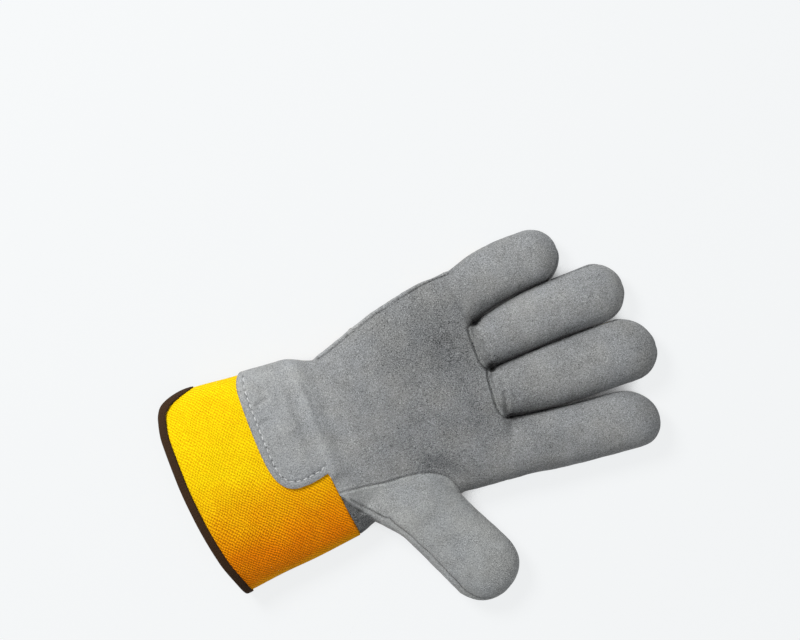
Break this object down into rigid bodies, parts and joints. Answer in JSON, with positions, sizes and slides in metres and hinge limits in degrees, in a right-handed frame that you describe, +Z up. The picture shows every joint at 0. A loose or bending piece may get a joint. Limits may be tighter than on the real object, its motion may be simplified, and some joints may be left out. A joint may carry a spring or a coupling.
{
  "type": "split leather glove",
  "caption": "Right-hand split leather work glove with a yellow cloth back, knuckle strap, leather fingertips and a flared canvas cuff with bound edge, lying palm up.",
  "frame": {"origin": "middle of the glove's footprint on the surface it lies on", "axes": "+X from the cuff's mouth to the fingertips, +Y towards the little finger, +Z up, out of the palm"},
  "size_m": [0.2696, 0.1812, 0.0419],
  "materials": {
    "split_leather": "matt suede, grey",
    "cuff_canvas": "stiffened canvas weave, golden yellow",
    "back_cloth": "cotton twill, golden yellow",
    "binding_tape": "woven tape, dark brown"
  },
  "bodies": {
    "root": {"cuff": "cuff_canvas", "cuff_binding": "binding_tape", "palm": "split_leather", "finger_panel": "split_leather", "back": "back_cloth", "knuckle_strap": "split_leather", "index_back": "split_leather", "fingertip_middle": "split_leather", "fingertip_ring": "split_leather", "fingertip_little": "split_leather", "thumb_front": "split_leather", "thumb_back": "split_leather", "side_welt": "split_leather"}
  },
  "joints": []
}
